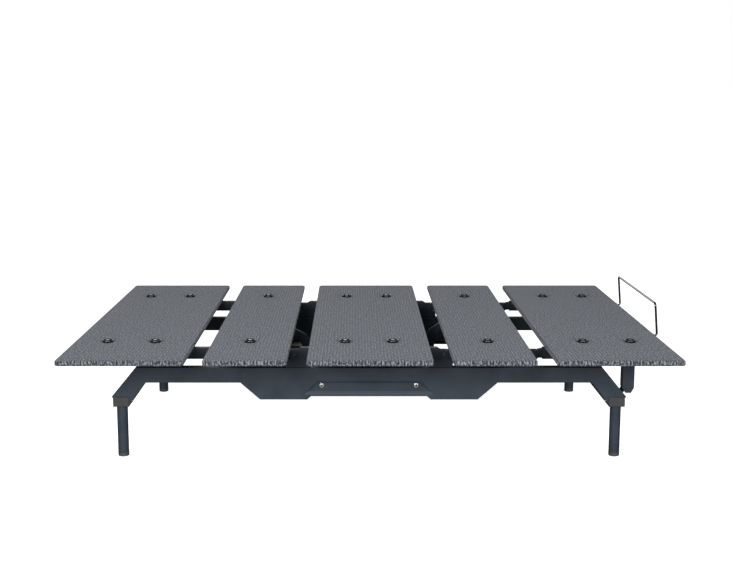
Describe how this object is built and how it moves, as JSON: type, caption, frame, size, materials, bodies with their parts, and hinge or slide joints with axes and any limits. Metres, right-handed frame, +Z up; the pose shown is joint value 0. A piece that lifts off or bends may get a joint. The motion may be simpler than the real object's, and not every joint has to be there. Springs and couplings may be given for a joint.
{
  "type": "adjustable bed base",
  "caption": "Queen adjustable bed base: jointed upholstered deck panels on a gull-wing steel frame, with two electric drives that raise the back and the legs.",
  "frame": {"origin": "on the floor under the middle of the object's bounding box", "axes": "+X runs from head to foot, +Y to the sleeper's left, +Z up"},
  "size_m": [2.0481, 1.524, 0.517],
  "materials": {
    "frame_paint": "semi-matt charcoal powder coat",
    "deck_paint": "matt black powder coat",
    "deck_fabric": "woven charcoal fabric over board",
    "zinc": "bright zinc plate",
    "dark_zinc": "black zinc plate",
    "cup_black": "gloss black moulding",
    "cap_plastic": "fine textured moulding",
    "black_plastic": "matt black moulding",
    "foot_rubber": "matt black rubber",
    "bar_chrome": "bright chrome",
    "rod_steel": "ground steel"
  },
  "bodies": {
    "base": {"base_bolts": "zinc", "control_box": "black_plastic", "crossbar_end_caps": "cap_plastic", "foot_drive_barrel": "black_plastic", "foot_drive_motor": "black_plastic", "foot_frame_left": "frame_paint", "foot_frame_right": "frame_paint", "head_drive_barrel": "black_plastic", "head_drive_motor": "black_plastic", "head_frame_left": "frame_paint", "head_frame_right": "frame_paint", "leg_crossbars": "frame_paint", "leg_foot_left": "frame_paint", "leg_foot_right": "frame_paint", "leg_glides": "foot_rubber", "leg_head_left": "frame_paint", "leg_head_right": "frame_paint", "link_lugs": "frame_paint", "motor_brackets": "frame_paint", "motor_crossbars": "frame_paint", "panel_seat": "deck_fabric", "power_inlet": "black_plastic", "power_supply": "black_plastic", "saddle_plates": "frame_paint", "seat_bolts": "dark_zinc", "seat_cups": "cup_black", "seat_hinge_ears": "deck_paint", "seat_rails": "deck_paint", "seat_standoffs": "deck_paint", "side_plate_left": "frame_paint", "side_plate_right": "frame_paint", "splice_plates": "deck_paint"},
    "back": {"back_rails": "deck_paint", "back_hinge_tongues": "deck_paint", "back_drive_tube": "deck_paint", "back_crossbar": "deck_paint", "back_drive_arm": "deck_paint", "panel_head": "deck_fabric", "panel_back": "deck_fabric", "back_cups": "cup_black", "back_bolts": "dark_zinc"},
    "thigh": {"thigh_rails": "deck_paint", "thigh_hinge_leaves": "deck_paint", "thigh_drive_tube": "deck_paint", "thigh_drive_arm": "deck_paint", "panel_thigh": "deck_fabric", "thigh_cups": "cup_black", "thigh_bolts": "dark_zinc"},
    "calf": {"calf_rails": "deck_paint", "calf_hinge_tongues": "deck_paint", "calf_crossbar": "deck_paint", "panel_calf": "deck_fabric", "calf_cups": "cup_black", "calf_bolts": "dark_zinc", "retainer_bar": "bar_chrome", "retainer_sockets": "black_plastic"},
    "calf_link_pair": {"calf_links": "frame_paint", "link_pins": "zinc"},
    "head_rod": {"head_drive_rod": "rod_steel"},
    "foot_rod": {"foot_drive_rod": "rod_steel"}
  },
  "joints": [
    {"name": "back_hinge", "type": "hinge", "parent": "base", "child": "back", "pos_m": [-0.267, 0, 0.362], "axis": [0, 1, 0], "range_deg": [0, 60]},
    {"name": "thigh_hinge", "type": "hinge", "parent": "base", "child": "thigh", "pos_m": [0.25, 0, 0.362], "axis": [0, -1, 0], "range_deg": [0, 24]},
    {"name": "calf_hinge", "type": "hinge", "parent": "thigh", "child": "calf", "pos_m": [0.557, 0, 0.362], "axis": [0, -1, 0], "range_deg": [-49, 0.5]},
    {"name": "link_hinge", "type": "hinge", "parent": "base", "child": "calf_link_pair", "pos_m": [0.8865, 0, 0.25], "axis": [0, -1, 0], "range_deg": [-0.5, 28]},
    {"name": "head_rod_slide", "type": "slide", "parent": "base", "child": "head_rod", "axis": [-1, 0, 0], "range_m": [-0.001, 0.1257]},
    {"name": "foot_rod_slide", "type": "slide", "parent": "base", "child": "foot_rod", "axis": [1, 0, 0], "range_m": [-0.001, 0.0469]}
  ],
  "couplings": [
    {"joint": "calf_hinge", "follows": "thigh_hinge", "ratio": -2.0317},
    {"joint": "link_hinge", "follows": "thigh_hinge", "ratio": 1.1623},
    {"joint": "head_rod_slide", "follows": "back_hinge", "m_per_rad": 0.11909},
    {"joint": "foot_rod_slide", "follows": "thigh_hinge", "m_per_rad": 0.10961}
  ]
}
